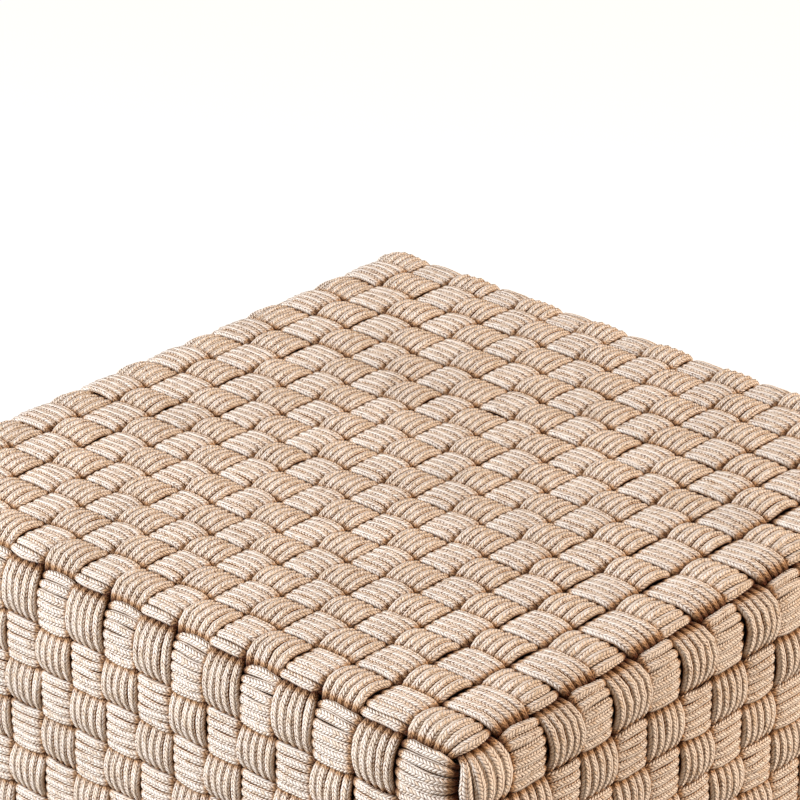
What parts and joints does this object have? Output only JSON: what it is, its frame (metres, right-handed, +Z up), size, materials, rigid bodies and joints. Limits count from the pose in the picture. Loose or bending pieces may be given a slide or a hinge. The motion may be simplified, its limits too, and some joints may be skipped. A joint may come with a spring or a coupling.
{
  "type": "outdoor ottoman footstool",
  "caption": "Square cube-shaped outdoor footstool: flat bands of beige braided cord in plain weave over a tube frame, with rounded edges, on four low glides.",
  "frame": {"origin": "on the ground, under the middle of the footstool", "axes": "+Z up, -Y out of the front face, +X to the right seen from the front"},
  "size_m": [0.4572, 0.4572, 0.4047],
  "materials": {
    "woven_rope": "heathered beige braided polyolefin cord, matt",
    "frame_tube": "powder-coated aluminium tube, satin",
    "frame_fitting": "powder-coated cast aluminium corner, satin",
    "glide_plastic": "moulded polypropylene, matt",
    "stud_steel": "zinc-plated steel"
  },
  "bodies": {
    "root": {"bottom_corner_fitting_back_left": "frame_fitting", "bottom_corner_fitting_back_right": "frame_fitting", "bottom_corner_fitting_front_left": "frame_fitting", "bottom_corner_fitting_front_right": "frame_fitting", "bottom_rail_back": "frame_tube", "bottom_rail_front": "frame_tube", "bottom_rail_left": "frame_tube", "bottom_rail_right": "frame_tube", "cord_end_strip_back": "frame_tube", "cord_end_strip_front": "frame_tube", "cord_end_strip_left": "frame_tube", "cord_end_strip_right": "frame_tube", "crossbar_1": "frame_tube", "crossbar_2": "frame_tube", "crossbar_3": "frame_tube", "glide_back_left": "glide_plastic", "glide_back_right": "glide_plastic", "glide_front_left": "glide_plastic", "glide_front_right": "glide_plastic", "glide_stud_back_left": "stud_steel", "glide_stud_back_right": "stud_steel", "glide_stud_front_left": "stud_steel", "glide_stud_front_right": "stud_steel", "post_back_left": "frame_tube", "post_back_right": "frame_tube", "post_front_left": "frame_tube", "post_front_right": "frame_tube", "top_corner_fitting_back_left": "frame_fitting", "top_corner_fitting_back_right": "frame_fitting", "top_corner_fitting_front_left": "frame_fitting", "top_corner_fitting_front_right": "frame_fitting", "top_rail_back": "frame_tube", "top_rail_front": "frame_tube", "top_rail_left": "frame_tube", "top_rail_right": "frame_tube", "turned_under_cords_back": "woven_rope", "turned_under_cords_front": "woven_rope", "turned_under_cords_left": "woven_rope", "turned_under_cords_right": "woven_rope", "woven_back": "woven_rope", "woven_front": "woven_rope", "woven_left": "woven_rope", "woven_right": "woven_rope", "woven_top": "woven_rope"}
  },
  "joints": []
}
